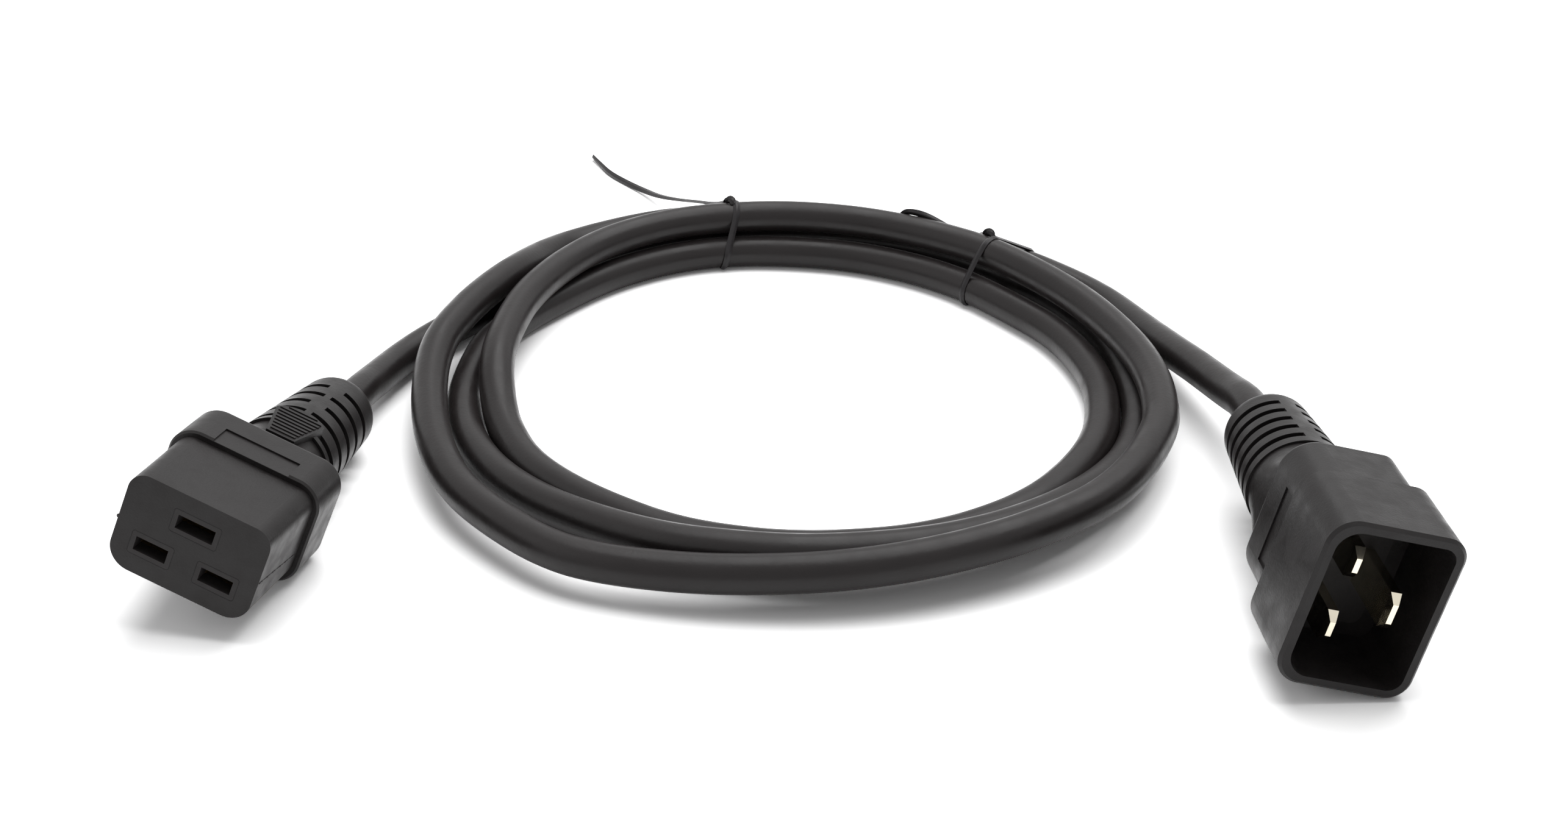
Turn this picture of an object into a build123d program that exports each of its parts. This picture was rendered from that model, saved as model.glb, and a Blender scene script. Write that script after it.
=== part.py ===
"""A C19 cord set: the moulded C19 connector, its three-core cord wound in a loose
oval coil with two ties, and the moulded C20 plug on the far end.

Each end is drawn in its own frame: x to the right as seen from in front of its face,
y into the body, z towards the earth pole. It is then laid on the bench as it rests.
The origin is the bottom centre of the C19 connector, and +z is up. All in millimetres.
"""
from build123d import *
import math
import os

os.makedirs("parts", exist_ok=True)

# How the C19 connector lies: it is rolled to one side, with its cord end down
c19_pitch = -7.6
c19_roll = 22.76

# C19 nose, the part that goes into an inlet
nose_width = 28.1
nose_height = 20.0
nose_length = 18.6
nose_draft = 0.2
nose_top_radius = 3.6
nose_low_radius = 4.6

# Places of the three poles, shared by both ends
pole_spacing = 13.0
pole_row_distance = 8.0
earth_height = 4.1

# C19 slots, contacts and the carrier that holds them
slot_gap = 2.84
earth_slot_width = 7.36
pole_slot_width = 6.36
slot_lip = 3.2
contact_sheet = 0.4
contact_play = 0.1
contact_length = 11.3
contact_spring_share = 0.3
contact_spring_width_share = 0.2
contact_spring_aside_share = 0.27
tower_wall = 0.5
carrier_width = 24.0
carrier_height = 15.6
carrier_corner = 2.0
carrier_front = 15.0
carrier_thickness = 3.0

# Crimp barrels and cores
barrel_diameter = 3.2
barrel_length = 6.0
barrel_overlap = 1.0
conductor_diameter = 1.6
core_diameter = 2.7
core_clearance = 0.1
core_straight = 2.4

# C19 collar behind the nose
collar_width = 31.0
collar_height = 22.9
collar_lift = 0.1
collar_length = 12.3
collar_top_radius = 5.5
collar_low_radius = 5.6
collar_front_edge = 0.4
collar_rear_edge = 1.4

# C19 neck between collar and boot
neck_inset = 1.3
neck_width = 20.4
neck_height = 18.4
neck_length = 8.4
neck_waist_share = 0.56
neck_corner_share = 0.42
boot_flat_share = 0.49

# C19 boot that takes the strain off the cord
c19_boot_diameter = 20.9
c19_boot_end_diameter = 16.2
c19_boot_length = 32.8
c19_first_slot = 2.3
c19_slot_pitch = 5.3
c19_slot_width = 1.7
c19_slot_rows = 5
c19_wide_bridge = 3.5
c19_narrow_bridge = 1.4
boot_dome = 3.8
boot_sleeve = 1.2
boot_step = 0.6
neck_overlap = 2.0

# C19 ribbed grip pad
pad_front = 1.7
pad_length = 12.7
pad_bulge = 2.8
pad_front_width = 6.0
pad_rear_width = 10.4
pad_height = 10.5
rib_count = 9
rib_width = 0.6
rib_height = 0.25

# Shallow panel behind the nose, and behind the shroud
panel_width = 15.5
c19_panel_length = 5.6
c20_panel_length = 8.0
panel_depth = 0.35

# C20 shroud round the pins
shroud_width = 32.8
shroud_height = 25.0
shroud_length = 19.1
shroud_wall = 1.9
shroud_top_radius = 4.3
shroud_low_radius = 5.2
cavity_top_radius = 2.6
cavity_low_radius = 4.2
cavity_depth = 17.2
shroud_edge = 0.6

# C20 pins and the bridge that holds them
pin_thickness = 2.0
pole_pin_width = 6.0
earth_pin_width = 7.0
pole_pin_recess = 3.6
earth_pin_recess = 0.8
pin_bevel = 1.6
pin_bevel_thickness = 0.5
pin_tail = 5.6
bridge_thickness = 3.0

# C20 block, neck and boot
block_side_inset = 1.7
block_top_inset = 1.4
block_low_inset = 2.2
block_length = 15.4
block_top_radius = 3.0
block_low_radius = 6.5
block_edge = 1.2
c20_neck_inset = 0.8
c20_neck_width = 20.2
c20_neck_height = 19.4
c20_neck_length = 9.5
c20_boot_diameter = 20.6
c20_boot_end_diameter = 17.0
c20_boot_length = 25.9
c20_first_slot = 2.9
c20_slot_pitch = 4.0
c20_slot_width = 1.6
c20_slot_rows = 5
c20_bridge = 3.3

# Cord
cord_diameter = 7.8
cord_radius = cord_diameter / 2
c19_cord_inside_boot = 28.0
c20_cord_inside_boot = 24.0
cord_lap = 10.0
arc_run_share = 0.45

# How the C20 plug lies, seen from the middle of the C19 face
c20_right = 207.6
c20_back = 14.3
c20_yaw = 12.69
c20_pitch = -1.8
c20_roll = 103.82

# Coil of cord: an oval ring whose top slopes up to the back
coil_right = 89.9
coil_back = 114.1
coil_turn = 10.2
coil_outer_width = 170.0
coil_outer_length = 183.4
coil_outer_shift = 1.0
coil_outer_forward = 2.7
coil_hole_width = 126.6
coil_hole_length = 134.9
coil_hole_shift = 2.0
coil_hole_forward = 3.8
coil_front_height = 12.2
coil_back_height = 15.8
coil_edge = 2.6

# Free cord between each end and the coil, as points in the bench plan with their height
c19_lead_run = 22.0
c20_lead_run = 20.0
c19_lead_points = [
    (2.4, 110.5, cord_radius),
    (9.2, 130.0, cord_radius),
    (20.5, 149.0, 5.2),
]
c20_lead_points = [
    (183.3, 111.3, 11.5),
    (175.7, 128.6, 8.5),
    (167.3, 145.6, 6.0),
    (155.5, 161.5, 4.8),
]

# Ties round the back of the coil
tie_thickness = 0.9
tie_width = 2.6
tie_corner = 2.0
left_tie_angle = 102.6
right_tie_angle = 46.0
tail_width = 1.4
tail_length_share = 0.45
tail_points = [
    (-18.0, 97.0, 4.6),
    (-29.0, 108.5, 1.4),
    (-42.0, 119.5, 0.8),
    (-50.0, 129.5, 0.8),
    (-57.0, 143.0, 0.8),
]

# One length by which every cut runs past the solid it cuts
overrun = 2.0

left_pole = (-pole_spacing / 2, earth_height - pole_row_distance)
right_pole = (pole_spacing / 2, earth_height - pole_row_distance)
earth_pole = (0, earth_height)
POLES = {
    "live": (right_pole, pole_slot_width, pole_pin_width, pole_pin_recess, 330),
    "neutral": (left_pole, pole_slot_width, pole_pin_width, pole_pin_recess, 210),
    "earth": (earth_pole, earth_slot_width, earth_pin_width, earth_pin_recess, 90),
}
pocket_height = slot_gap + 2 * (contact_sheet + contact_play)
tower_height = pocket_height + 2 * tower_wall
carrier_rear = carrier_front + carrier_thickness
collar_rear = nose_length + collar_length
c19_boot_start = collar_rear + neck_length
c19_jacket_end = c19_boot_start + c19_boot_length - c19_cord_inside_boot
pin_rear = cavity_depth + bridge_thickness + pin_tail - barrel_overlap
block_rear = shroud_length + block_length
c20_boot_start = block_rear + c20_neck_length
c20_jacket_end = c20_boot_start + c20_boot_length - c20_cord_inside_boot


def at_depth(depth, shape, x=0, z=0):
    """A flat outline stood across the body at a depth, facing out of the body."""
    return Plane.XZ.offset(-depth) * (Pos(x, z) * shape)


def rounded(width, height, top_radius, low_radius):
    """A rectangle with its own corner radius at the earth side and at the other side."""
    shape = Rectangle(width, height)
    shape = fillet(shape.vertices().group_by(Axis.Y)[-1], top_radius)
    return fillet(shape.vertices().group_by(Axis.Y)[0], low_radius)


def bar(width, height, start, length, x=0, z=0):
    """A plain bar that runs into the body from a depth."""
    return extrude(at_depth(start, Rectangle(width, height), x, z), amount=-length)


def rod(diameter, start, length, x=0, z=0):
    """A round rod that runs into the body from a depth."""
    return extrude(at_depth(start, Circle(diameter / 2), x, z), amount=-length)


def boot(start, diameter, end_diameter, length, dome):
    """A round boot that narrows towards the cord and ends in a rounded lip."""
    end = start + length
    profile = make_face(
        Polyline(
            (0, start), (diameter / 2, start), (end_diameter / 2, end), (0, end), close=True
        )
    )
    lip = profile.vertices().sort_by(Axis.X)[2]
    return revolve(fillet(lip, dome), Axis.Y)


def boot_slot(depth, width, bridge, diameter, lean=0):
    """One row of the boot's slots: a ring cut that leaves a bridge on two sides."""
    inner = cord_radius + boot_sleeve
    ring = rod(diameter + overrun, depth - width / 2, width)
    ring -= rod(2 * inner, depth - width, 2 * width)
    bridges = bar(bridge, diameter + 2 * overrun, depth - width, 2 * width)
    return ring - Rot(0, lean, 0) * bridges


def jacket_space(start, end):
    """The round hole that the cord's jacket fills inside a moulding."""
    return rod(cord_diameter, start, end - start + overrun)


def strand(diameter, pole, start, end, angle):
    """One core's way: straight from its contact, then in towards the cord's middle."""
    bundle = (core_diameter + core_clearance) / math.sqrt(3)
    inner = (bundle * math.cos(math.radians(angle)), bundle * math.sin(math.radians(angle)))
    bend = start + barrel_length + core_straight
    circle = Circle(diameter / 2)
    return loft([
        at_depth(start, circle, *pole),
        at_depth(bend, circle, *pole),
        at_depth(end, circle, *inner),
    ], ruled=True)


def core_and_conductor(pole, start, bared, end, angle):
    """A copper conductor and, past its bared length, the insulation round it."""
    conductor = strand(conductor_diameter, pole, start, end, angle)
    core = strand(core_diameter, pole, start, end, angle)
    side = core_diameter + overrun
    core -= bar(side, side, start - overrun, bared + overrun, *pole)
    return core - conductor, conductor


def insert_plate(start, thickness):
    """The plate with rounded corners that a hard insert is built on."""
    outline = rounded(carrier_width, carrier_height, carrier_corner, carrier_corner)
    return extrude(at_depth(start, outline), amount=-thickness)


def contact_carrier():
    """The hard insert: a base plate with three towers whose slots take the pins."""
    solid = insert_plate(carrier_front, carrier_thickness)
    for pole, slot, _, _, _ in POLES.values():
        pocket_width = slot + 2 * (contact_sheet + contact_play)
        solid += bar(pocket_width + 2 * tower_wall, tower_height, 0, carrier_front, *pole)
    for pole, slot, _, _, _ in POLES.values():
        pocket_width = slot + 2 * (contact_sheet + contact_play)
        solid -= bar(slot, slot_gap, -overrun, slot_lip + 2 * overrun, *pole)
        solid -= bar(pocket_width, pocket_height, slot_lip, contact_length + contact_play, *pole)
        solid -= rod(barrel_diameter, slot_lip, carrier_rear, *pole)
        solid -= contact_tab(pole)
    return solid


def contact_tab(pole):
    """The strip that joins a contact's sleeve to its crimp barrel."""
    low = pole[1] - (slot_gap + contact_sheet) / 2
    return bar(barrel_diameter / 2, contact_sheet, slot_lip + contact_length - barrel_overlap,
               carrier_rear - slot_lip - contact_length + 2 * barrel_overlap, pole[0], low)


def female_contact(pole, slot):
    """A sleeve folded from sheet with a seam on top and two springs pressed inwards,
    and behind it the barrel that is crimped on the conductor."""
    outer_width = slot + 2 * contact_sheet
    outer_height = slot_gap + 2 * contact_sheet
    front = slot_lip - overrun
    length = contact_length + 2 * overrun
    sleeve = bar(outer_width, outer_height, slot_lip, contact_length, *pole)
    sleeve -= bar(slot, slot_gap, front, length, *pole)
    top = pole[1] + outer_height / 2
    sleeve -= bar(contact_sheet, outer_height / 2, front, length, pole[0], top)
    sleeve += contact_springs(pole, slot)
    barrel = rod(barrel_diameter, carrier_rear, barrel_length, *pole)
    barrel -= rod(conductor_diameter, carrier_rear + barrel_overlap, barrel_length, *pole)
    return sleeve + contact_tab(pole) + barrel


def contact_springs(pole, slot):
    """Two bowed strips on the sleeve's floor that press on the pin."""
    bow = slot_gap * contact_spring_share
    front = slot_lip + contact_sheet
    rear = slot_lip + contact_length - contact_sheet
    floor = pole[1] - slot_gap / 2
    root = floor - contact_sheet / 2
    strip = make_face(
        Line((front, root), (rear, root))
        + ThreePointArc((rear, root), ((front + rear) / 2, floor + bow), (front, root))
    )
    width = slot * contact_spring_width_share
    spring = extrude(Plane.YZ * strip, amount=width / 2, both=True)
    aside = slot * contact_spring_aside_share
    return Pos(pole[0] - aside) * spring + Pos(pole[0] + aside) * spring


def c19_shell():
    """The outside of the C19 moulding, before its hollows are cut."""
    nose = loft([
        at_depth(0, rounded(nose_width, nose_height, nose_top_radius, nose_low_radius)),
        at_depth(nose_length + overrun, rounded(
            nose_width + 2 * nose_draft, nose_height + 2 * nose_draft, nose_top_radius, nose_low_radius)),
    ])
    collar = extrude(
        at_depth(nose_length, rounded(collar_width, collar_height, collar_top_radius, collar_low_radius),
                 z=collar_lift), amount=-collar_length)
    collar = chamfer(collar.faces().sort_by(Axis.Y)[0].edges(), collar_front_edge)
    collar = fillet(collar.faces().sort_by(Axis.Y)[-1].edges(), collar_rear_edge)
    waist = collar_rear + neck_length * neck_waist_share
    mouth = c19_boot_start + neck_overlap
    neck = loft([
        at_depth(collar_rear - collar_rear_edge, rounded(
            collar_width - 2 * neck_inset, collar_height - 2 * neck_inset, collar_top_radius,
            collar_low_radius), z=collar_lift),
        at_depth(waist, rounded(neck_width, neck_height, neck_height * neck_corner_share,
                                neck_height * neck_corner_share)),
        at_depth(mouth, round_square(c19_boot_diameter - 2 * boot_step)),
    ])
    return nose + collar + neck


def round_square(side):
    """Almost a circle, with four short flats so that it matches the corners of a body."""
    return rounded(side, side, side * boot_flat_share, side * boot_flat_share)


def grip_pad():
    """A wedge-shaped pad on the neck with a bowed rear edge, ribbed across for the thumb."""
    start = collar_rear + pad_front
    rear = start + pad_length
    left = (-pad_rear_width / 2, rear - pad_bulge)
    right = (pad_rear_width / 2, rear - pad_bulge)
    sides = Polyline(left, (-pad_front_width / 2, start), (pad_front_width / 2, start), right)
    base = make_face(sides + ThreePointArc(right, (0, rear), left))
    pad = extrude(base, amount=pad_height)
    ribbed = extrude(offset(base, amount=-rib_width), amount=pad_height + rib_height)
    for row in range(rib_count):
        depth = start + pad_length * (row + 1) / (rib_count + 1)
        rib = Pos(0, depth, pad_height) * Box(pad_rear_width, rib_width, 2 * rib_height)
        pad += rib & ribbed
    return pad


def panel(start, length, top):
    """The cutter of a shallow panel that runs back from a depth."""
    return Pos(0, start + length / 2, top) * Box(panel_width, length, 2 * panel_depth)


def c19_body():
    """The C19 moulding in one piece: nose, collar, neck, slotted boot and grip pad."""
    solid = c19_shell()
    solid += boot(c19_boot_start, c19_boot_diameter, c19_boot_end_diameter, c19_boot_length, boot_dome)
    for row in range(c19_slot_rows):
        bridge = c19_narrow_bridge if row % 2 else c19_wide_bridge
        depth = c19_boot_start + c19_first_slot + row * c19_slot_pitch
        solid -= boot_slot(depth, c19_slot_width, bridge, c19_boot_diameter)
    solid += grip_pad()
    collar_top = collar_lift + collar_height / 2
    solid -= panel(nose_length - overrun, c19_panel_length + overrun, collar_top)
    return solid - c19_hollows()


def c19_hollows():
    """Everything inside the C19 moulding: carrier, crimps, cores and the cord's end."""
    solid = jacket_space(c19_jacket_end, c19_boot_start + c19_boot_length)
    solid += insert_plate(carrier_front, carrier_thickness)
    for pole, slot, _, _, angle in POLES.values():
        pocket_width = slot + 2 * (contact_sheet + contact_play)
        tower_width = pocket_width + 2 * tower_wall
        solid += bar(tower_width, tower_height, -overrun, carrier_front + 2 * overrun, *pole)
        solid += rod(barrel_diameter, carrier_front, carrier_thickness + barrel_length, *pole)
        solid += contact_tab(pole)
        solid += strand(core_diameter, pole, carrier_rear + barrel_overlap, c19_jacket_end, angle)
    return solid


def pin(pole, width, recess):
    """A solid blade with a bevelled tip, and the crimp barrel on its tail."""
    tip_width = width - 2 * pin_bevel
    tip_thickness = pin_thickness - 2 * pin_bevel_thickness
    tip = loft([
        at_depth(recess, Rectangle(tip_width, tip_thickness), *pole),
        at_depth(recess + pin_bevel, Rectangle(width, pin_thickness), *pole),
    ])
    blade = bar(width, pin_thickness, recess + pin_bevel, pin_rear - recess - pin_bevel, *pole)
    barrel = rod(barrel_diameter, pin_rear - barrel_overlap, barrel_length, *pole)
    barrel -= rod(conductor_diameter, pin_rear, barrel_length, *pole)
    return tip + blade + barrel


def pin_bridge():
    """The hard plate that holds the three pins in the floor of the shroud."""
    solid = insert_plate(cavity_depth, bridge_thickness)
    for pole, _, width, _, _ in POLES.values():
        solid -= bar(width, pin_thickness, cavity_depth - overrun, bridge_thickness + 2 * overrun, *pole)
    return solid


def c20_shell():
    """The outside of the C20 moulding, before its hollows are cut."""
    shroud = extrude(at_depth(0, rounded(
        shroud_width, shroud_height, shroud_top_radius, shroud_low_radius)), amount=-shroud_length)
    rims = shroud.faces().sort_by(Axis.Y)
    shroud = chamfer(rims[0].edges() + rims[-1].edges(), shroud_edge)
    block_width = shroud_width - 2 * block_side_inset
    block_height = shroud_height - block_top_inset - block_low_inset
    block_lift = (block_low_inset - block_top_inset) / 2
    block = extrude(at_depth(shroud_length - overrun, rounded(
        block_width, block_height, block_top_radius, block_low_radius), z=block_lift),
        amount=-(block_length + overrun))
    block = fillet(block.faces().sort_by(Axis.Y)[-1].edges(), block_edge)
    waist = block_rear + c20_neck_length * neck_waist_share
    mouth = c20_boot_start + neck_overlap
    neck = loft([
        at_depth(block_rear - block_edge, rounded(
            block_width - 2 * c20_neck_inset, block_height - 2 * c20_neck_inset, block_top_radius,
            block_low_radius), z=block_lift),
        at_depth(waist, rounded(c20_neck_width, c20_neck_height, c20_neck_height * neck_corner_share,
                                c20_neck_height * neck_corner_share)),
        at_depth(mouth, round_square(c20_boot_diameter - 2 * boot_step)),
    ])
    return shroud + block + neck


def c20_body():
    """The C20 moulding in one piece: shroud, block, neck and slotted boot."""
    solid = c20_shell()
    solid += boot(c20_boot_start, c20_boot_diameter, c20_boot_end_diameter, c20_boot_length, boot_dome)
    for row in range(c20_slot_rows):
        depth = c20_boot_start + c20_first_slot + row * c20_slot_pitch
        solid -= boot_slot(depth, c20_slot_width, c20_bridge, c20_boot_diameter, 90)
    cavity = rounded(shroud_width - 2 * shroud_wall, shroud_height - 2 * shroud_wall,
                     cavity_top_radius, cavity_low_radius)
    solid -= extrude(at_depth(-overrun, cavity), amount=-(cavity_depth + overrun))
    low_side = shroud_height / 2 - block_low_inset
    solid -= panel(shroud_length, c20_panel_length, -low_side)
    return solid - c20_hollows()


def c20_hollows():
    """Everything inside the C20 moulding: pin bridge, pins, cores and the cord's end."""
    solid = jacket_space(c20_jacket_end, c20_boot_start + c20_boot_length)
    solid += insert_plate(cavity_depth, bridge_thickness)
    for pole, _, width, _, angle in POLES.values():
        solid += bar(width, pin_thickness, cavity_depth, pin_rear - cavity_depth, *pole)
        solid += rod(barrel_diameter, pin_rear - barrel_overlap, barrel_length, *pole)
        solid += strand(core_diameter, pole, pin_rear, c20_jacket_end, angle)
    return solid


def arc_radii(route):
    """The radius at each corner of a route: the largest arc that its two runs allow."""
    radii = []
    for before, corner, after in zip(route, route[1:], route[2:]):
        coming = corner - before
        going = after - corner
        turn = math.radians(coming.get_angle(going))
        run = min(coming.length, going.length)
        radii.append(arc_run_share * run / math.tan(turn / 2))
    return radii


def tube(route):
    """A plain round cord along straight runs joined by arcs."""
    radii = arc_radii(route)
    path = FilletPolyline(*route, radius=radii)
    foot = Plane(origin=path @ 0, z_dir=path % 0)
    solid = sweep(foot * Circle(cord_radius), path=path)
    section = math.pi * cord_radius ** 2
    print("cord radii", [round(radius, 1) for radius in radii],
          "volume ratio", round(solid.volume / (section * path.length), 4))
    return solid


def lead(place, boot_end, inner_end, run, points):
    """The cord from its end inside a boot, along its points, as far as the coil."""
    start = place * Pos(0, boot_end - cord_lap, 0)
    bend = place * Pos(0, boot_end - cord_lap + run, 0)
    route = [start.position, bend.position] + [Vector(*point) for point in points]
    inner = place * rod(cord_diameter, inner_end, boot_end - cord_lap - inner_end)
    return tube(route) + inner


def coil():
    """The wound cord as one ring: an oval outside, an oval hole and a sloping top."""
    oval = Ellipse(coil_outer_width / 2, coil_outer_length / 2)
    blank = extrude(Pos(coil_outer_shift, -coil_outer_forward) * oval, amount=coil_back_height)
    hole = extrude(Ellipse(coil_hole_width / 2, coil_hole_length / 2), amount=coil_back_height + overrun)
    blank -= Pos(coil_hole_shift, -coil_hole_forward, 0) * hole
    front = -coil_outer_forward - coil_outer_length / 2
    back = front + coil_outer_length
    rise = coil_back_height + overrun
    wedge = make_face(Polyline(
        (front, coil_front_height), (back, coil_back_height), (back, rise), (front, rise), close=True))
    blank -= extrude(Plane.YZ * wedge, amount=coil_outer_width, both=True)
    top = blank.faces().sort_by(Axis.Z)[-1]
    ring = chamfer(top.edges(), coil_edge)
    return coil_place * ring


def oval_reach(width, length, shift, forward, angle):
    """How far an oval, moved to the right and forward, reaches from the coil's middle at an angle."""
    right = math.cos(math.radians(angle)) / (width / 2)
    back = math.sin(math.radians(angle)) / (length / 2)
    shift_share = shift / (width / 2)
    forward_share = forward / (length / 2)
    size = right ** 2 + back ** 2
    lean = right * shift_share - back * forward_share
    rest = shift_share ** 2 + forward_share ** 2 - 1
    return (lean + math.sqrt(lean ** 2 - size * rest)) / size


def coil_outside(angle):
    """How far the wound cord reaches from its middle at an angle."""
    return oval_reach(coil_outer_width, coil_outer_length, coil_outer_shift, coil_outer_forward, angle)


def tie_ring(angle):
    """A flat strip closed round the wound cord, standing across it."""
    outside = coil_outside(angle) + tie_thickness
    inside = oval_reach(coil_hole_width, coil_hole_length, coil_hole_shift, coil_hole_forward, angle)
    inside -= tie_thickness
    middle = (outside + inside) / 2
    depth_share = middle * math.sin(math.radians(angle)) / coil_outer_length + 0.5
    top = coil_front_height + (coil_back_height - coil_front_height) * depth_share + tie_thickness
    outer = fillet(Rectangle(outside - inside, top).vertices(), tie_corner)
    inner = fillet(Rectangle(outside - inside - 2 * tie_thickness, top - 2 * tie_thickness).vertices(),
                   tie_corner - tie_thickness)
    strip = extrude(Plane.XZ * (outer - inner), amount=tie_width / 2, both=True)
    return coil_place * Rot(0, 0, angle) * Pos(middle, 0, top / 2) * strip


def tie_tail():
    """The loose end of the left tie, bent down to the bench behind the coil."""
    outside = coil_outside(left_tie_angle)
    knot = coil_place * Rot(0, 0, left_tie_angle) * Pos(outside, 0, coil_back_height * tail_length_share)
    route = [knot.position] + [(coil_place * Pos(*point)).position for point in tail_points]
    path = FilletPolyline(*route, radius=arc_radii(route))
    foot = Plane(origin=path @ 0, z_dir=path % 0)
    return sweep(foot * Rectangle(tail_width, tie_thickness), path=path)


def floor_gap(solid):
    """Height of a solid's lowest point."""
    return solid.bounding_box().min.Z


# Lay the connector and the plug on the bench
body = c19_body()
c19_lean = Rot(c19_pitch, 0, 0) * Rot(0, c19_roll, 0)
leaning = c19_lean * body
box = leaning.bounding_box()
middle_x = (box.min.X + box.max.X) / 2
middle_y = (box.min.Y + box.max.Y) / 2
c19_place = Pos(-middle_x, -middle_y, -box.min.Z) * c19_lean
bench = Pos(-middle_x, -middle_y, 0)

plug = c20_body()
c20_lean = Rot(0, 0, c20_yaw) * Rot(c20_pitch, 0, 0) * Rot(0, c20_roll, 0)
c20_place = bench * Pos(c20_right, c20_back, -floor_gap(c20_lean * plug)) * c20_lean
coil_place = bench * Pos(coil_right, coil_back, 0) * Rot(0, 0, coil_turn)

nodes = {"c19_body": c19_place * body, "c19_contact_carrier": c19_place * contact_carrier()}
nodes["c20_body"] = c20_place * plug
nodes["c20_pin_bridge"] = c20_place * pin_bridge()
for name, (pole, slot, width, recess, angle) in POLES.items():
    nodes[f"c19_{name}_contact"] = c19_place * female_contact(pole, slot)
    core, conductor = core_and_conductor(
        pole, carrier_rear + barrel_overlap, barrel_length - barrel_overlap, c19_jacket_end, angle)
    nodes[f"c19_{name}_core"] = c19_place * core
    nodes[f"c19_{name}_conductor"] = c19_place * conductor
    nodes[f"c20_{name}_pin"] = c20_place * pin(pole, width, recess)
    core, conductor = core_and_conductor(
        pole, pin_rear, barrel_length - barrel_overlap, c20_jacket_end, angle)
    nodes[f"c20_{name}_core"] = c20_place * core
    nodes[f"c20_{name}_conductor"] = c20_place * conductor

ring = coil()
c19_points = [(bench * Pos(*point)).position for point in c19_lead_points]
c20_points = [(bench * Pos(*point)).position for point in c20_lead_points]
c19_cord = lead(
    c19_place, c19_boot_start + c19_boot_length, c19_jacket_end, c19_lead_run, c19_points)
c20_cord = lead(
    c20_place, c20_boot_start + c20_boot_length, c20_jacket_end, c20_lead_run, c20_points)
nodes["cord_lead_c19"] = c19_cord - ring
nodes["cord_lead_c20"] = c20_cord - ring
left_tie = tie_ring(left_tie_angle) + tie_tail()
right_tie = tie_ring(right_tie_angle)
nodes["cord_coil"] = ring - left_tie - right_tie
nodes["twist_tie_left"] = left_tie
nodes["twist_tie_right"] = right_tie

for name, solid in nodes.items():
    export_step(solid, f"parts/{name}.step")
print("face of the C19 at", c19_place.position, "face of the C20 at", c20_place.position)
print("middle of the coil at", coil_place.position)
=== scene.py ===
import math
import bpy
import numpy as np
from mathutils import Matrix, Vector


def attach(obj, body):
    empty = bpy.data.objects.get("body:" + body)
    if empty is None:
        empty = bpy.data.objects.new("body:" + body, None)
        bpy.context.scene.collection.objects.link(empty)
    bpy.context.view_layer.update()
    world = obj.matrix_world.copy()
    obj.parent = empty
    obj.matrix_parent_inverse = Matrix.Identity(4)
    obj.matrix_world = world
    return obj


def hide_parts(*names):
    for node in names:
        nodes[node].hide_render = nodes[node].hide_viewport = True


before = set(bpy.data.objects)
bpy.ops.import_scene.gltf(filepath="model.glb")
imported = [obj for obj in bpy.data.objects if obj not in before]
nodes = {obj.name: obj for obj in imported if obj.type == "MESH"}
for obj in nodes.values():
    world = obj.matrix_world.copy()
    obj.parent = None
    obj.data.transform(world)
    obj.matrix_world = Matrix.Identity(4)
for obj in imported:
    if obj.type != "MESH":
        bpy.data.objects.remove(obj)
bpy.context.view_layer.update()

mm = 0.001
scene = bpy.context.scene


# Camera
# A normal lens on a tripod. It looks down on the bench by 29 degrees, is turned
# 10 degrees to the left of the connector's own line, and has a trace of roll.
photo_width = 2571
focal_pixels = 3232.84
sensor_width = 36.0
camera_place = Vector((158.743, -311.976, 208.66)) * mm
camera_turn, camera_tilt, camera_roll = (math.radians(a) for a in (10.202, 28.568, -0.305))

camera_data = bpy.data.cameras.new("bench_camera")
camera_data.sensor_fit = "HORIZONTAL"
camera_data.sensor_width = sensor_width
camera_data.lens = focal_pixels / photo_width * sensor_width
camera_data.clip_start = 0.01
camera_data.clip_end = 20.0
camera = bpy.data.objects.new("bench_camera", camera_data)
scene.collection.objects.link(camera)
camera.matrix_world = (
    Matrix.Translation(camera_place)
    @ Matrix.Rotation(camera_turn, 4, "Z")
    @ Matrix.Rotation(math.pi / 2 - camera_tilt, 4, "X")
    @ Matrix.Rotation(camera_roll, 4, "Z")
)
scene.camera = camera


# Cord
# Three cores in a round black PVC jacket, 7.8 mm thick. It leaves the C19
# boot, is wound three and a half times into a loose oval, and goes into the
# C20 boot. Each pass lies on the bench or on the pass that it crosses.
cord_diameter = 7.8 * mm
coil_centre = np.array([89.846, 78.923]) * mm
coil_turn = math.radians(10.2)

# The jacket starts inside the C19 boot, and then drops to the bench.
c19_end = np.array([(-0.05, 26.37, 10.31), (-0.05, 48.18, 7.40)]) * mm
# It ends inside the C20 boot, which lies on its side and holds it higher.
c20_end = np.array([(190.00, 57.03, 16.07), (194.39, 37.53, 16.70)]) * mm

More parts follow.
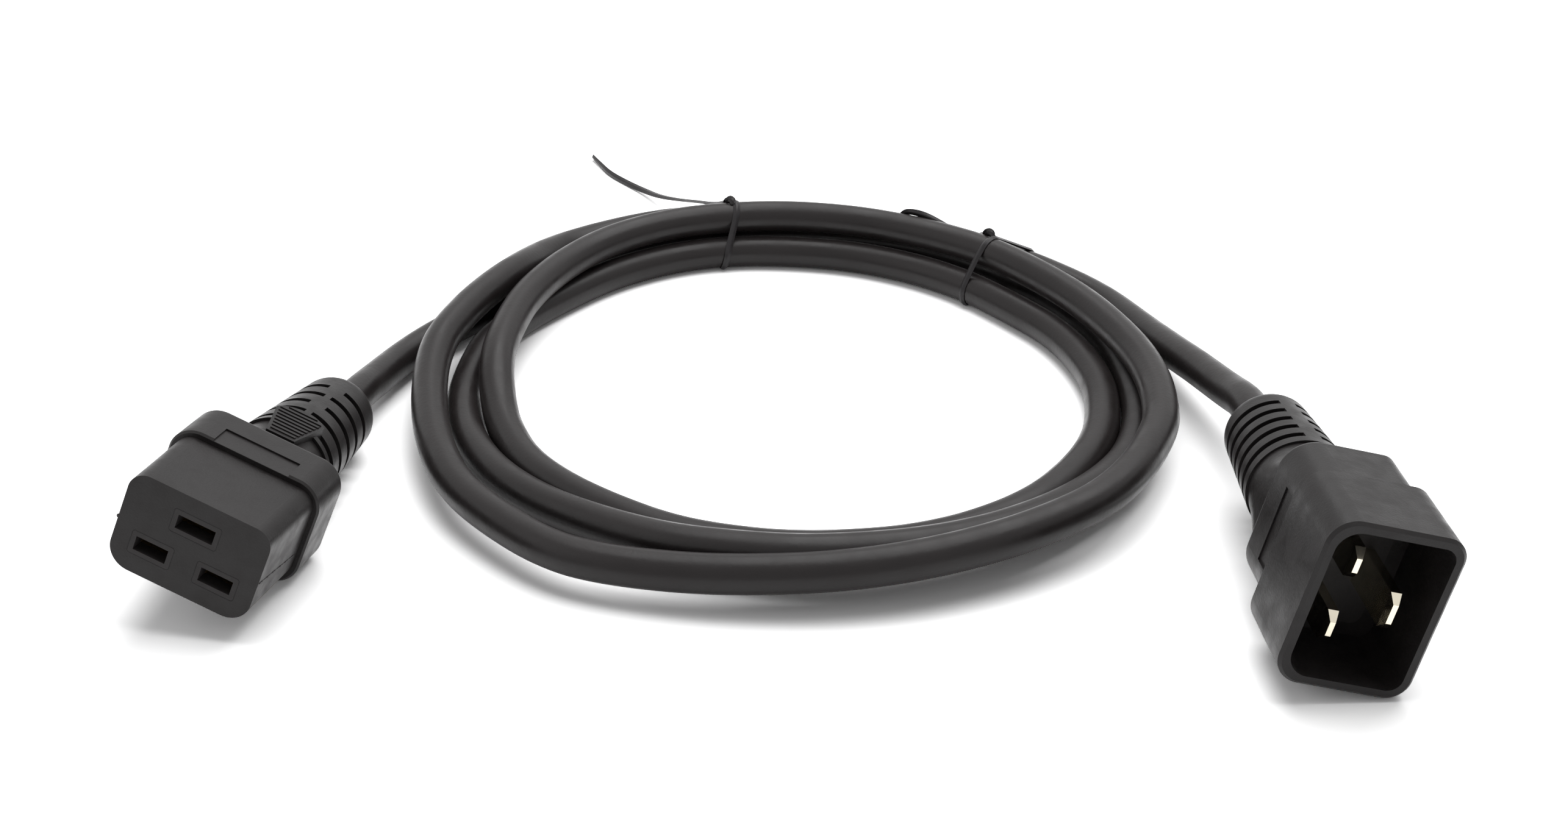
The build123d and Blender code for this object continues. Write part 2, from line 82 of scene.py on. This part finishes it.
# A station of the coil: degrees round its centre from its right, millimetres out
# from the centre, and the millimetres that the cord's middle is above the bench.
on_bench = cord_diameter / 2 / mm
on_pass = 3 * on_bench
from_c19 = [
    (-175.2, 93.2, 6.0), (177, 90.2, 4.2), (171, 87.3, on_bench), (164.9, 84.2, on_bench),
    (158.5, 81.2, on_bench), (151.9, 78.7, on_bench), (143, 77.6, on_bench),
]
middle_turn = [
    (133, 77.8, on_bench), (120, 78.2, on_bench), (105, 77.6, on_bench), (90, 77.0, on_bench),
    (75, 77.0, on_bench), (60, 76.6, on_bench), (45, 75.4, on_bench), (30, 75.8, on_bench),
    (12, 76.5, on_bench), (-3, 76.7, on_bench), (-15.5, 79.0, on_bench), (-27.3, 81.2, 4.2),
    (-38, 82.4, 5.0), (-50, 83.7, 6.6), (-60, 84.1, 7.2), (-68, 84.0, 7.5), (-75, 83.6, 7.7),
    (-82.5, 83.0, 7.8), (-90, 82.6, 7.8), (-98.2, 81.5, 7.6), (-106.9, 80.6, 7.0),
    (-117.4, 78.8, 6.2), (-129.5, 77.4, 5.1), (-140.3, 76.8, 4.6), (-150.4, 75.7, 4.2),
    (-160.3, 74.8, on_bench), (-171.4, 73.1, on_bench), (176.9, 71.9, on_bench),
    (167.1, 72.0, on_bench), (157, 70.2, on_bench),
]
inner_turn = [
    (146.8, 69.1, on_bench), (129.9, 70.1, on_bench), (114.9, 70.6, on_bench),
    (102.1, 69.7, on_bench), (89.2, 67.6, on_bench), (75.6, 66.4, on_bench), (60.8, 64.8, on_bench),
    (47, 63.6, on_bench), (33.6, 62.9, on_bench), (15.8, 66.1, on_bench), (-3.2, 69.2, on_bench),
    (-17.2, 71.3, on_bench), (-28, 73.3, on_bench), (-39.2, 74.7, on_bench),
    (-50.1, 76.5, on_bench), (-62.1, 77.0, on_bench), (-72, 76.8, on_bench), (-81, 75.8, on_bench),
    (-89.9, 75.2, on_bench), (-99.1, 74.1, on_bench), (-109, 73.0, on_bench),
    (-121, 70.5, on_bench), (-132, 69.5, on_bench), (-143.6, 68.8, on_bench), (-155.8, 67.2, 4.7),
    (-164.8, 66.1, 6.5), (-172.5, 65.7, 9.6), (178.6, 65.2, 11.2), (163.9, 65.8, 11.6),
    (153.6, 67.2, on_pass), (141, 69.8, on_pass),
]
top_turn = [
    (128.2, 72.8, on_pass), (114.4, 74.2, on_pass), (101.7, 73.4, on_pass), (89.2, 72.5, on_pass),
    (75, 71.0, on_pass), (62.2, 69.5, on_pass), (50, 69.2, on_pass), (38.8, 69.3, on_pass),
    (18.9, 71.0, on_pass), (2, 75.2, 11.4), (-11.1, 80.3, 11.4), (-24.2, 85.4, 11.4),
    (-31.3, 87.2, 11.4), (-40.7, 89.8, 11.2), (-49.6, 91.4, 11.0), (-59.4, 91.3, 10.6),
    (-67.6, 91.0, 10.1), (-75.4, 90.9, 9.6), (-82.8, 90.6, 9.0), (-90, 90.5, 8.5),
    (-100.8, 90.9, 7.7), (-112, 91.9, 7.2), (-120.1, 92.4, 7.2), (-131.8, 89.4, 7.3),
    (-141.6, 87.5, 7.5), (-153.3, 83.7, 8.0), (-164.6, 81.0, 8.8), (-174.3, 79.8, 10.0),
    (177.9, 78.9, 11.4), (170.2, 77.4, 11.8), (163.3, 76.8, 11.9), (155.9, 76.7, 11.8),
]
outer_turn = [
    (149.5, 77.5, 11.3), (144, 79.3, 10.2), (138.5, 82.3, 8.6), (132, 85.5, 7.0), (124, 86.8, 6.3),
    (116, 87.3, 6.1), (108, 87.6, 5.8), (98, 86.4, 4.6), (88, 85.4, on_bench), (75, 85.0, on_bench),
    (60, 84.5, on_bench), (48, 83.7, on_bench), (36, 83.8, on_bench), (25, 84.9, on_bench),
]
to_c20 = [
    (10.3, 84.3, 6.0), (-0.6, 87.0, 8.5), (-6.4, 89.9, 10.0), (-11.9, 93.4, 11.5),
    (-17.0, 97.4, 13.2),
]


def bench_points(stations):
    """Coil stations as points: out from the centre at their angle, at their height."""
    angle, out, height = np.array(stations, dtype=float).T
    angle = np.radians(angle) + coil_turn
    plan = coil_centre[:, None] + out * mm * np.stack([np.cos(angle), np.sin(angle)])
    return np.column_stack([plan.T, height * mm])


def smooth_line(name, points):
    """A NURBS curve that follows its control points and starts and ends on them."""
    curve = bpy.data.curves.new(name, "CURVE")
    curve.dimensions = "3D"
    line = curve.splines.new("NURBS")
    line.points.add(len(points) - 1)
    line.points.foreach_set("co", np.column_stack([points, np.ones(len(points))]).ravel())
    line.order_u = 3
    line.use_endpoint_u = True
    line.resolution_u = 8
    return curve


# What the plastics of this cord set share: a weak mirror, how fine the noise is for
# their clouds, rubbed marks and grain, and the part of the noise that shows as marks.
plastic_specular = 0.24
cloud_detail = 3
mark_detail = 4
grain_detail = 2
mark_range = (0.35, 0.65)


def noise(tree, size, detail):
    """Noise that stays on its piece, with patches of about a size in metres."""
    place = tree.nodes.new("ShaderNodeTexCoord")
    field = tree.nodes.new("ShaderNodeTexNoise")
    field.inputs["Scale"].default_value = 1 / size
    field.inputs["Detail"].default_value = detail
    tree.links.new(place.outputs["Object"], field.inputs["Vector"])
    return field.outputs["Fac"]


def feed_shade(tree, factor, shades, socket):
    """Takes a colour socket from the first shade to the second as a factor goes from 0 to 1."""
    mix = tree.nodes.new("ShaderNodeMix")
    mix.data_type = "RGBA"
    mix.inputs["A"].default_value = (*shades[0], 1)
    mix.inputs["B"].default_value = (*shades[1], 1)
    tree.links.new(factor, mix.inputs["Factor"])
    tree.links.new(mix.outputs["Result"], socket)


def feed_range(tree, factor, limits, socket, span=(0.0, 1.0)):
    """Takes a socket from the first limit to the second as a factor goes through a span."""
    spread = tree.nodes.new("ShaderNodeMapRange")
    spread.inputs["From Min"].default_value = span[0]
    spread.inputs["From Max"].default_value = span[1]
    spread.inputs["To Min"].default_value = limits[0]
    spread.inputs["To Max"].default_value = limits[1]
    tree.links.new(factor, spread.inputs["Value"])
    tree.links.new(spread.outputs["Result"], socket)


def plastic(name, shades, shine, grain, grain_depth, cloud, mark):
    """Moulded or extruded plastic: soft clouds between two close shades, rubbed marks and a fine
    grain. shades are its dark and light colour, and shine is its roughness range. grain, cloud and
    mark are sizes in metres, and so is grain_depth."""
    material = bpy.data.materials.new(name)
    material.use_nodes = True
    tree = material.node_tree
    surface = tree.nodes["Principled BSDF"]
    surface.inputs["Specular IOR Level"].default_value = plastic_specular
    feed_shade(tree, noise(tree, cloud, cloud_detail), shades, surface.inputs["Base Color"])
    feed_range(tree, noise(tree, mark, mark_detail), shine, surface.inputs["Roughness"], mark_range)
    bump = tree.nodes.new("ShaderNodeBump")
    bump.inputs["Strength"].default_value = 1.0
    bump.inputs["Distance"].default_value = grain_depth
    tree.links.new(noise(tree, grain, grain_detail), bump.inputs["Height"])
    tree.links.new(bump.outputs["Normal"], surface.inputs["Normal"])
    return material


jacket_pvc = plastic(
    "jacket_pvc",
    shades=((0.013, 0.0107, 0.0107), (0.025, 0.0212, 0.0212)),
    shine=(0.30, 0.42),
    grain=0.9 * mm,
    grain_depth=0.03 * mm,
    cloud=22 * mm,
    mark=6 * mm,
)

coil = from_c19 + middle_turn + inner_turn + top_turn + outer_turn + to_c20
cord_curve = smooth_line("cord", np.vstack([c19_end, bench_points(coil), c20_end]))
cord_curve.bevel_depth = cord_diameter / 2
cord_curve.bevel_resolution = 7
cord_curve.use_fill_caps = True
cord_curve.materials.append(jacket_pvc)
cord = bpy.data.objects.new("cord", cord_curve)
scene.collection.objects.link(cord)
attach(cord, "root")
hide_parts("cord_lead_c19", "cord_coil", "cord_lead_c20")


# Bench and light
# A white sweep under a large soft lamp, high and to the right, with a weak fill
# from the left. The sweep is shown overexposed, so that it is white to the camera
# and keeps only the deeper part of its shadows.
sweep_half = 1.6
sweep_corners = [(-1, -1), (1, -1), (1, 1), (-1, 1)]
room_light = 0.22
room_white = 1.0


def in_view(tree):
    """1 for what the camera sees, by itself, in a mirror or through glass, and 0 otherwise."""
    path = tree.nodes.new("ShaderNodeLightPath")
    seen = path.outputs["Is Camera Ray"]
    for kind in ("Is Glossy Ray", "Is Transmission Ray"):
        either = tree.nodes.new("ShaderNodeMath")
        either.operation = "MAXIMUM"
        tree.links.new(seen, either.inputs[0])
        tree.links.new(path.outputs[kind], either.inputs[1])
        seen = either.outputs[0]
    return seen


def white_sweep(name, colour, gain, lift):
    """Matt white. The camera, mirrors and glass see it reflect gain more of the light that falls on
    it, and give lift on top of that."""
    material = bpy.data.materials.new(name)
    material.use_nodes = True
    tree = material.node_tree
    surface = tree.nodes["Principled BSDF"]
    surface.inputs["Base Color"].default_value = (*colour, 1)
    surface.inputs["Roughness"].default_value = 0.9
    surface.inputs["Specular IOR Level"].default_value = 0.0
    surface.inputs["Emission Color"].default_value = (1, 1, 1, 1)
    seen = in_view(tree)
    feed_range(tree, seen, (0.0, lift), surface.inputs["Emission Strength"])
    overexposed = tree.nodes.new("ShaderNodeBsdfDiffuse")
    feed_range(tree, seen, (0.0, gain), overexposed.inputs["Color"])
    both = tree.nodes.new("ShaderNodeAddShader")
    tree.links.new(surface.outputs["BSDF"], both.inputs[0])
    tree.links.new(overexposed.outputs["BSDF"], both.inputs[1])
    tree.links.new(both.outputs["Shader"], tree.nodes["Material Output"].inputs["Surface"])
    return material


def soft_lamp(name, place, target, size, watts):
    """A square area lamp at place that faces target."""
    data = bpy.data.lights.new(name, "AREA")
    data.shape = "SQUARE"
    data.size = size
    data.energy = watts
    lamp = bpy.data.objects.new(name, data)
    scene.collection.objects.link(lamp)
    direction = Vector(target) - Vector(place)
    lamp.matrix_world = Matrix.Translation(place) @ direction.to_track_quat("-Z", "Y").to_matrix().to_4x4()


bench_mesh = bpy.data.meshes.new("bench")
bench_mesh.from_pydata([(x * sweep_half, y * sweep_half, 0) for x, y in sweep_corners], [], [(0, 1, 2, 3)])
bench_mesh.materials.append(white_sweep("white_sweep", colour=(0.62, 0.62, 0.625), gain=1.30, lift=0.02))
bench = bpy.data.objects.new("bench", bench_mesh)
scene.collection.objects.link(bench)

world = bpy.data.worlds.new("white_room")
scene.world = world
world.use_nodes = True
room = world.node_tree.nodes["Background"]
room.inputs["Color"].default_value = (1.0, 1.0, 1.0, 1)
feed_range(world.node_tree, in_view(world.node_tree), (room_light, room_white), room.inputs["Strength"])

soft_lamp("top_lamp", place=(0.20, 0.36, 0.92), target=(0.10, 0.06, 0.0), size=1.0, watts=9.6)
soft_lamp("left_fill", place=(-0.80, -0.30, 0.60), target=(0.10, 0.05, 0.0), size=0.8, watts=1.0)


# C19 connector
# One overmoulding in black PVC: nose, collar, neck, and the slotted boot that
# grips the cord. It is moulded round the carrier and the wired contacts.
moulding_pvc = plastic(
    "moulding_pvc",
    shades=((0.012, 0.0106, 0.0106), (0.0245, 0.0217, 0.0217)),
    shine=(0.32, 0.48),
    grain=0.45 * mm,
    grain_depth=0.03 * mm,
    cloud=14 * mm,
    mark=4 * mm,
)


def dress(node, material):
    """Gives a CAD node its material in place of what it came with."""
    mesh = nodes[node].data
    mesh.materials.clear()
    mesh.materials.append(material)


dress("c19_body", moulding_pvc)


# Contact carrier
# A hard black insert with three slotted towers, one for each contact. The towers
# end flush in the connector's face.
carrier_plastic = plastic(
    "carrier_plastic",
    shades=((0.026, 0.0235, 0.0235), (0.035, 0.0315, 0.0315)),
    shine=(0.42, 0.52),
    grain=0.4 * mm,
    grain_depth=0.02 * mm,
    cloud=9 * mm,
    mark=3 * mm,
)
dress("c19_contact_carrier", carrier_plastic)


# Contacts
# Three sleeves folded from brass sheet, each with a crimp barrel at its back. They
# sit in the carrier's towers, where the slots give a glimpse of them.
poles = ("live", "neutral", "earth")
metal_detail = 4
dark_share = 0.8


def metal(name, colour, shine, grain):
    """Bare metal, darker and smoother in places: patches of about the grain's size in metres take
    its colour from dark_share of it to the whole, and its roughness through the range of shine."""
    material = bpy.data.materials.new(name)
    material.use_nodes = True
    tree = material.node_tree
    surface = tree.nodes["Principled BSDF"]
    surface.inputs["Metallic"].default_value = 1.0
    patches = noise(tree, grain, metal_detail)
    feed_shade(tree, patches, ([dark_share * c for c in colour], colour), surface.inputs["Base Color"])
    feed_range(tree, patches, shine, surface.inputs["Roughness"])
    return material


brass = metal("brass", colour=(0.50, 0.39, 0.20), shine=(0.25, 0.4), grain=0.4 * mm)
for pole in poles:
    dress(f"c19_{pole}_contact", brass)


# Cores and conductors
# Brown, blue and green insulation over copper wire. Inside both mouldings the three
# cores bend together from their crimps into the cord's jacket.
core_shades = {
    "live": ((0.18, 0.08, 0.035), (0.22, 0.10, 0.045)),
    "neutral": ((0.035, 0.12, 0.38), (0.045, 0.14, 0.44)),
    "earth": ((0.32, 0.48, 0.07), (0.38, 0.54, 0.09)),
}
copper = metal("copper", colour=(0.78, 0.42, 0.26), shine=(0.25, 0.4), grain=0.3 * mm)
for pole in poles:
    insulation = plastic(
        f"core_{pole}",
        shades=core_shades[pole],
        shine=(0.35, 0.45),
        grain=0.4 * mm,
        grain_depth=0.01 * mm,
        cloud=8 * mm,
        mark=3 * mm,
    )
    for end in ("c19", "c20"):
        dress(f"{end}_{pole}_core", insulation)
        dress(f"{end}_{pole}_conductor", copper)


# C20 plug
# The far end's overmoulding in the same black PVC: shroud, block, neck and slotted
# boot. A hard plate inside it holds three flat pins, which are nickel plated.
nickel = metal("nickel", colour=(0.80, 0.74, 0.60), shine=(0.12, 0.20), grain=2.5 * mm)
dress("c20_body", moulding_pvc)
dress("c20_pin_bridge", carrier_plastic)
for pole in poles:
    dress(f"c20_{pole}_pin", nickel)


# Twist ties
# Two strips of black plastic with a wire down the middle, drawn tight round the
# strands at the coil's back. Their ends are twisted together on top, and the
# spare end of the left one runs down to the bench behind the coil.
tie_width = 1.7 * mm
tie_edge = 0.30 * mm
tie_bead = 0.90 * mm
tie_bead_width = 0.45 * mm
tie_wander = 0.25 * mm
tie_bite = 0.30 * mm
twist_radius = 0.50 * mm
twist_pitch = 3.4 * mm
twist_length = 1.5 * twist_pitch
short_end_length = twist_length - 0.5 * mm
end_step = 0.25 * mm
loop_directions = 721
loop_rows = 240
strip_sides = 20
tie_strip = plastic(
    "tie_strip",
    shades=((0.020, 0.018, 0.019), (0.034, 0.031, 0.033)),
    shine=(0.28, 0.40),
    grain=0.5 * mm,
    grain_depth=0.04 * mm,
    cloud=6 * mm,
    mark=2 * mm,
)


def drawn_points(curve):
    """The points along a curve as it is drawn, read from a copy that has no thickness."""
    bare = curve.copy()
    bare.bevel_depth = 0
    holder = bpy.data.objects.new("bare_line", bare)
    mesh = bpy.data.meshes.new_from_object(holder)
    places = np.empty(3 * len(mesh.vertices))
    mesh.vertices.foreach_get("co", places)
    bpy.data.objects.remove(holder)
    bpy.data.meshes.remove(mesh)
    bpy.data.curves.remove(bare)
    return places.reshape(-1, 3)


def distance_along(line):
    """How far each point of a line is from its start, along the line."""
    return np.append(0, np.cumsum(np.linalg.norm(np.diff(line, axis=0), axis=1)))


def unit_rows(rows):
    """Rows scaled to a length of 1."""
    return rows / np.linalg.norm(rows, axis=1)[:, None]


def strands_at(angle):
    """Where the cord crosses the upright half plane at an angle round the coil: out, and height."""
    line = drawn_points(cord_curve)
    out = (line[:, :2] - coil_centre) @ np.array([np.cos(angle), np.sin(angle)])
    aside = (line[:, :2] - coil_centre) @ np.array([-np.sin(angle), np.cos(angle)])
    first = np.flatnonzero((aside[:-1] * aside[1:] < 0) & (out[:-1] > 0))
    share = aside[first] / (aside[first] - aside[first + 1])
    centres = np.column_stack([out, line[:, 2]])
    return centres[first] + share[:, None] * (centres[first + 1] - centres[first])


def taut_loop(centres, radius):
    """The shortest loop round circles of one radius: towards each direction it touches the circle
    that reaches furthest that way. It stays above the bench, and its points are then spread evenly
    along it."""
    way = np.linspace(0, 2 * np.pi, loop_directions)
    unit = np.column_stack([np.cos(way), np.sin(way)])
    furthest = (centres @ unit.T).argmax(axis=0)
    loop = centres[furthest] + radius * unit
    loop[:, 1] = np.maximum(loop[:, 1], tie_bead / 2)
    run = distance_along(loop)
    even = np.linspace(0, run[-1], loop_rows, endpoint=False)
    return np.column_stack([np.interp(even, run, loop[:, 0]), np.interp(even, run, loop[:, 1])])


def strip_surface(path, side, roll, loop):
    """A flat strip with a bead, carried along a path. Across it, a point stands half the width times
    cos v to the side and sin v times half the thickness outwards, where the thickness is the edge's
    plus the bead's as a bell curve about the middle. roll turns the section about the path."""
    if loop:
        way = unit_rows(np.roll(path, -1, axis=0) - np.roll(path, 1, axis=0))
    else:
        way = unit_rows(np.gradient(path, axis=0))
    out = unit_rows(np.cross(side, way))
    side = np.cross(way, out)
    turned_side = np.cos(roll)[:, None] * side + np.sin(roll)[:, None] * out
    turned_out = np.cos(roll)[:, None] * out - np.sin(roll)[:, None] * side
    v = np.linspace(0, 2 * np.pi, strip_sides, endpoint=False)
    across = tie_width / 2 * np.cos(v)
    bell = np.exp(-(across / tie_bead_width) ** 2)
    deep = np.sin(v) * (tie_edge + (tie_bead - tie_edge) * bell) / 2
    return (path[:, None, :] + across[None, :, None] * turned_side[:, None, :]
            + deep[None, :, None] * turned_out[:, None, :])


def grid_piece(name, grids, loops, material):
    """One mesh over grids of points whose rows close on themselves. A looped grid also joins its
    last row to its first, and the others get a face at each end."""
    places = np.vstack([grid.reshape(-1, 3) for grid in grids])
    faces = []
    start = 0
    for grid, loop in zip(grids, loops):
        rows, columns = grid.shape[:2]
        row = np.arange(rows if loop else rows - 1)[:, None]
        column = np.arange(columns)[None, :]
        next_row = (row + 1) % rows
        next_column = (column + 1) % columns
        corners = [row * columns + column, next_row * columns + column,
                   next_row * columns + next_column, row * columns + next_column]
        faces += (np.stack(corners, axis=-1).reshape(-1, 4) + start).tolist()
        end = start + rows * columns
        if not loop:
            faces.append(list(range(start, start + columns)))
            faces.append(list(range(end - 1, end - columns - 1, -1)))
        start = end
    mesh = bpy.data.meshes.new(name)
    mesh.from_pydata(places.tolist(), [], faces)
    mesh.shade_smooth()
    mesh.materials.append(material)
    piece = bpy.data.objects.new(name, mesh)
    scene.collection.objects.link(piece)
    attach(piece, "root")
    return piece


def tie_loop(degrees, lean):
    """The part of a tie that goes round the strands, along a taut loop that bites a little into them.
    At a height h and a turn t round the loop it stands aside by the lean times h over one strand,
    less 1, plus the wander times sin(2 t + p) + 0.6 sin(5 t + 2 p). The phase p is the number of
    degrees, which only makes the two ties differ."""
    angle = math.radians(degrees) + coil_turn
    section = taut_loop(strands_at(angle), (cord_diameter + tie_bead) / 2 - tie_bite)
    turn = np.linspace(0, 2 * np.pi, len(section), endpoint=False)
    outward = np.array([math.cos(angle), math.sin(angle), 0])
    aside = np.array([-math.sin(angle), math.cos(angle), 0])
    up = np.array([0, 0, 1])
    wander = tie_wander * (np.sin(2 * turn + degrees) + 0.6 * np.sin(5 * turn + 2 * degrees))
    offset = wander + lean * (section[:, 1] / cord_diameter - 1)
    path = (np.append(coil_centre, 0) + section[:, :1] * outward + section[:, 1:] * up
            + offset[:, None] * aside)
    side = np.tile(aside, (len(path), 1))
    return strip_surface(path, side, np.zeros(len(path)), True)


def tie_end(stations, hand, roll_turns, length=math.inf):
    """A tie's end that leaves the knot along coil stations, cut to a length. At first it winds round
    the other end, at a radius that fades out. Then it lies flat, and rolls on to its edge as the
    square of the way to its tip."""
    line = drawn_points(smooth_line("tie_end", bench_points(stations)))
    run = distance_along(line)
    even = np.arange(0, min(length, run[-1]), end_step)
    path = np.column_stack([np.interp(even, run, line[:, axis]) for axis in range(3)])
    way = unit_rows(np.gradient(path, axis=0))
    level = unit_rows(np.cross(way, np.array([0, 0, 1])))
    above = np.cross(level, way)
    turn = 2 * np.pi * np.minimum(even, twist_length) / twist_pitch
    radius = hand * twist_radius * np.clip((twist_length - even) / twist_pitch, 0, 1)
    path = path + radius[:, None] * (np.cos(turn)[:, None] * level + np.sin(turn)[:, None] * above)
    path[:, 2] = np.maximum(path[:, 2], tie_bead / 2)
    beyond = np.clip((even - twist_length) / (run[-1] - twist_length), 0, 1)
    return strip_surface(path, level, turn + 2 * np.pi * roll_turns * beyond ** 2, False)


left_end = [
    (101.9, 72.4, 15.4), (101.2, 74.4, 16.1), (102.0, 76.8, 14.6), (103.4, 81.5, 12.2), (105.3, 92.4, 8.9),
    (106.7, 103.2, 5.4), (108.2, 114.0, 2.6), (109.0, 122.4, 1.2), (110.0, 128.9, 0.8),
    (111.3, 138.7, 0.8), (111.5, 146.0, 0.9), (111.6, 153.5, 1.0),
]
right_end = [
    (44.9, 70.0, 15.2), (46.3, 71.8, 15.9), (48.5, 73.4, 14.0), (52.0, 74.0, 11.8), (56.0, 73.8, 12.4),
    (58.8, 72.6, 14.2), (61.5, 71.8, 15.6), (64.2, 71.6, 16.0), (66.4, 72.8, 14.9), (68.0, 74.4, 11.6),
]
# Degrees round the coil, the lean, the long end's stations, and the turns that it rolls by.
ties = {
    "left": (102.6, -2.6 * mm, left_end, 0.25),
    "right": (44.3, 0.0, right_end, 0.45),
}
for name, (degrees, lean, stations, roll_turns) in ties.items():
    surfaces = [
        tie_loop(degrees, lean),
        tie_end(stations, 1, roll_turns),
        tie_end(stations, -1, 0.0, short_end_length),
    ]
    tie = grid_piece("tie_" + name, surfaces, (True, False, False), tie_strip)
    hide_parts("twist_tie_" + name)


# Parting line
# A fine ragged ridge of the same black PVC along both sides of the C19 nose, where
# the two halves of the mould met. It is laid on the nose by rays cast from the side.
nose_middle = np.array([-0.054, -35.177, 18.517]) * mm
nose_lean = math.radians(-7.6)
nose_roll = math.radians(22.76)
nose_axes = np.array(Matrix.Rotation(nose_lean, 3, "X") @ Matrix.Rotation(nose_roll, 3, "Y"))
nose_right, nose_back, nose_up = nose_axes.T

# Where the ridge starts and ends: how far behind the face, and how far up from the nose's middle.
flash_front = (0.4 * mm, -0.5 * mm)
flash_rear = (18.0 * mm, -2.7 * mm)
flash_rows = 90
flash_radius = 0.13 * mm
nub_radius = 0.32 * mm
nub_share = 0.03
fade_share = 0.05
tip_share = 0.05
ray_start = 30 * mm
bead_sides = 8


def flash_line(hand):
    """A ridge along one side of the nose: circles whose radius is the flash's times
    1 + 0.35 sin 37 s + 0.25 sin(91 s + 1) at a share s of the way back, and fades at the end.
    On the left it starts in a nub, whose radius falls off as a bell curve."""
    share = np.linspace(0, 1, flash_rows)
    back = flash_front[0] + share * (flash_rear[0] - flash_front[0])
    height = flash_front[1] + share * (flash_rear[1] - flash_front[1])
    side_way = hand * nose_right
    starts = nose_middle + ray_start * side_way + back[:, None] * nose_back + height[:, None] * nose_up
    hits = [nodes["c19_body"].ray_cast(Vector(start), Vector(-side_way)) for start in starts]
    centres = np.array([place for found, place, normal, face in hits])
    radius = flash_radius * (1 + 0.35 * np.sin(37 * share) + 0.25 * np.sin(91 * share + 1))
    if hand < 0:
        radius += nub_radius * np.exp(-(share / nub_share) ** 2)
    radius *= np.clip((1 - share) / fade_share, tip_share, 1)
    v = np.linspace(0, 2 * np.pi, bead_sides, endpoint=False)
    ring = np.cos(v)[:, None] * nose_right + np.sin(v)[:, None] * nose_up
    return centres[:, None, :] + radius[:, None, None] * ring[None, :, :]


parting_line = grid_piece("parting_line", [flash_line(-1), flash_line(1)], (False, False), moulding_pvc)


# Tower joints, with painted shade
# The thin gap round each of the three towers, where the moulding closes on the hard carrier,
# is painted as shade: a bead of near-black PVC that hardly stands out of the face.
# The towers' places are counted from the nose's middle.
joint_radius = 0.12 * mm
joint_depth = 0.08 * mm
joint_corner = 0.5 * mm
corner_rows = 6
tower_height = 4.84 * mm
pole_tower_width = 8.36 * mm
earth_tower_width = 9.36 * mm
pole_spacing = 13.0 * mm
pole_drop = 3.9 * mm
earth_rise = 4.1 * mm
# Near-black, far darker than the moulding: the painted shade of the gap round the towers.
gap_shade_pvc = plastic(
    "gap_shade_pvc",
    shades=((0.004, 0.0035, 0.0035), (0.007, 0.006, 0.006)),
    shine=(0.5, 0.6),
    grain=0.4 * mm,
    grain_depth=0.01 * mm,
    cloud=5 * mm,
    mark=2 * mm,
)


def joint_bead(across, up, width):
    """A ring round the tower that stands across and up from the nose's middle: a circle carried
    along a rectangle whose corners are quarter circles. The path goes anticlockwise from the right
    side, each point a corner's centre plus the corner's radius outwards. Round it, the bead goes
    cos v times its radius outwards and sin v times its radius to the front."""
    quarter = np.arange(4)[:, None] * np.pi / 2
    turn = (quarter + np.linspace(0, np.pi / 2, corner_rows)).reshape(-1, 1)
    diagonal = np.repeat(quarter + np.pi / 4, corner_rows, axis=0)
    right = across + np.copysign(width / 2 - joint_corner, np.cos(diagonal))
    high = up + np.copysign(tower_height / 2 - joint_corner, np.sin(diagonal))
    out = np.cos(turn) * nose_right + np.sin(turn) * nose_up
    path = nose_middle + right * nose_right + high * nose_up + joint_corner * out + joint_depth * nose_back
    v = np.linspace(0, 2 * np.pi, bead_sides, endpoint=False)[None, :, None]
    return path[:, None, :] + joint_radius * (np.cos(v) * out[:, None, :] - np.sin(v) * nose_back)


beads = [
    joint_bead(pole_spacing / 2, -pole_drop, pole_tower_width),
    joint_bead(-pole_spacing / 2, -pole_drop, pole_tower_width),
    joint_bead(0.0, earth_rise, earth_tower_width),
]
tower_gap_shade = grid_piece("tower_gap_shade", beads, (True, True, True), gap_shade_pvc)


# What the cord carries
# The cord leaves the C19 boot and ends in the C20 plug. That plug, with all that it
# holds, and the two ties are gathered in a list of the pieces at the cord's far end.
far_pieces = [nodes[name] for name in nodes if name.startswith("c20")]
far_pieces += [bpy.data.objects["tie_left"], bpy.data.objects["tie_right"]]

scene.view_settings.view_transform = "Standard"
